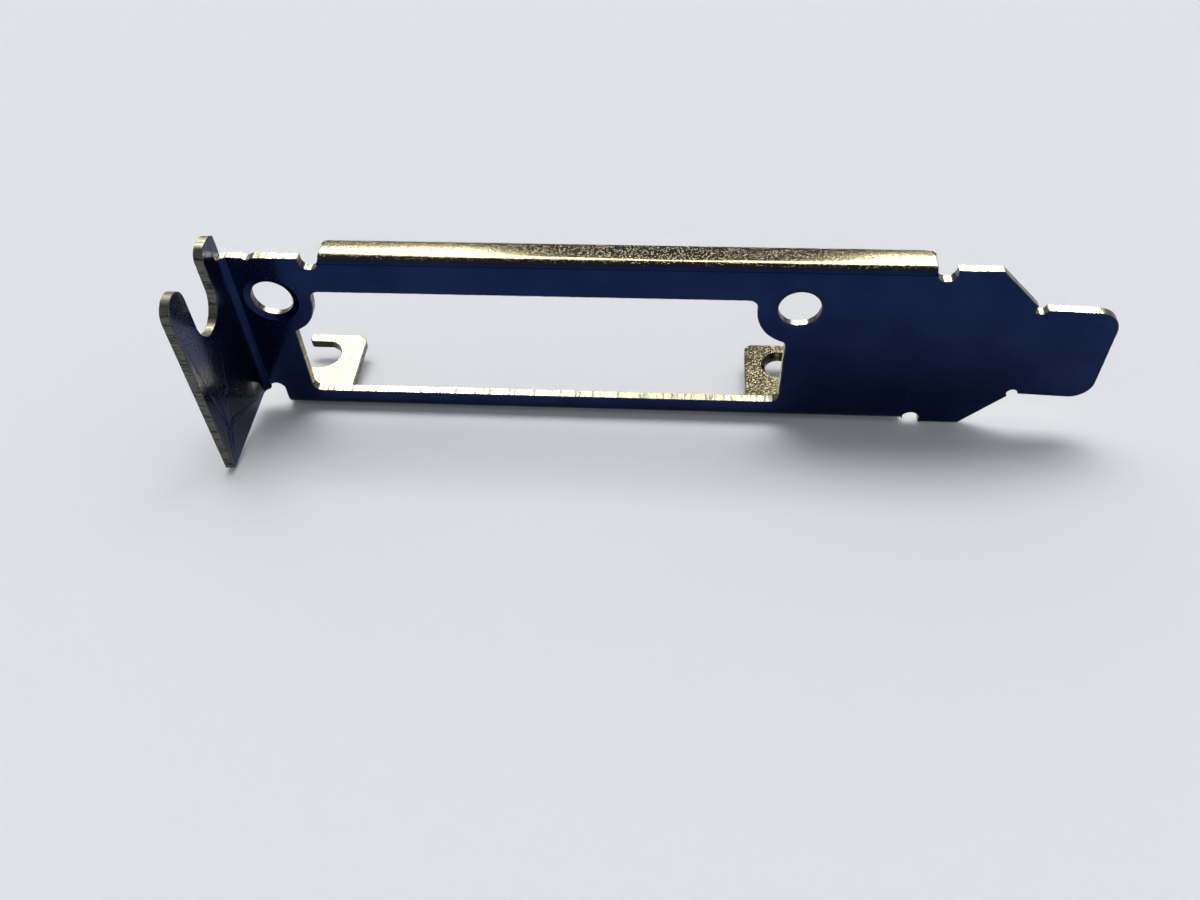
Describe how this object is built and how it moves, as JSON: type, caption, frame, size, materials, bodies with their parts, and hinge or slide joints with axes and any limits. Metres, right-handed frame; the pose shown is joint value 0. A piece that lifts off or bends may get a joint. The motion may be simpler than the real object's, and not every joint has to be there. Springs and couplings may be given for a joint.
{
  "type": "expansion slot bracket",
  "caption": "Low-profile expansion slot bracket of folded sheet steel, with a long connector window, a slotted chassis tab, board tabs and a tongue.",
  "frame": {"origin": "middle of the part's footprint, at the height of the blade's lower long edge", "axes": "+X along the blade from the chassis tab to the tongue, +Y from the blade's outer face towards the circuit board, +Z across the blade"},
  "size_m": [0.0792, 0.02, 0.0216],
  "materials": {
    "plated_sheet": "bright dark nickel plate with pale sheared edges"
  },
  "bodies": {
    "root": {"bracket": "plated_sheet"}
  },
  "joints": []
}
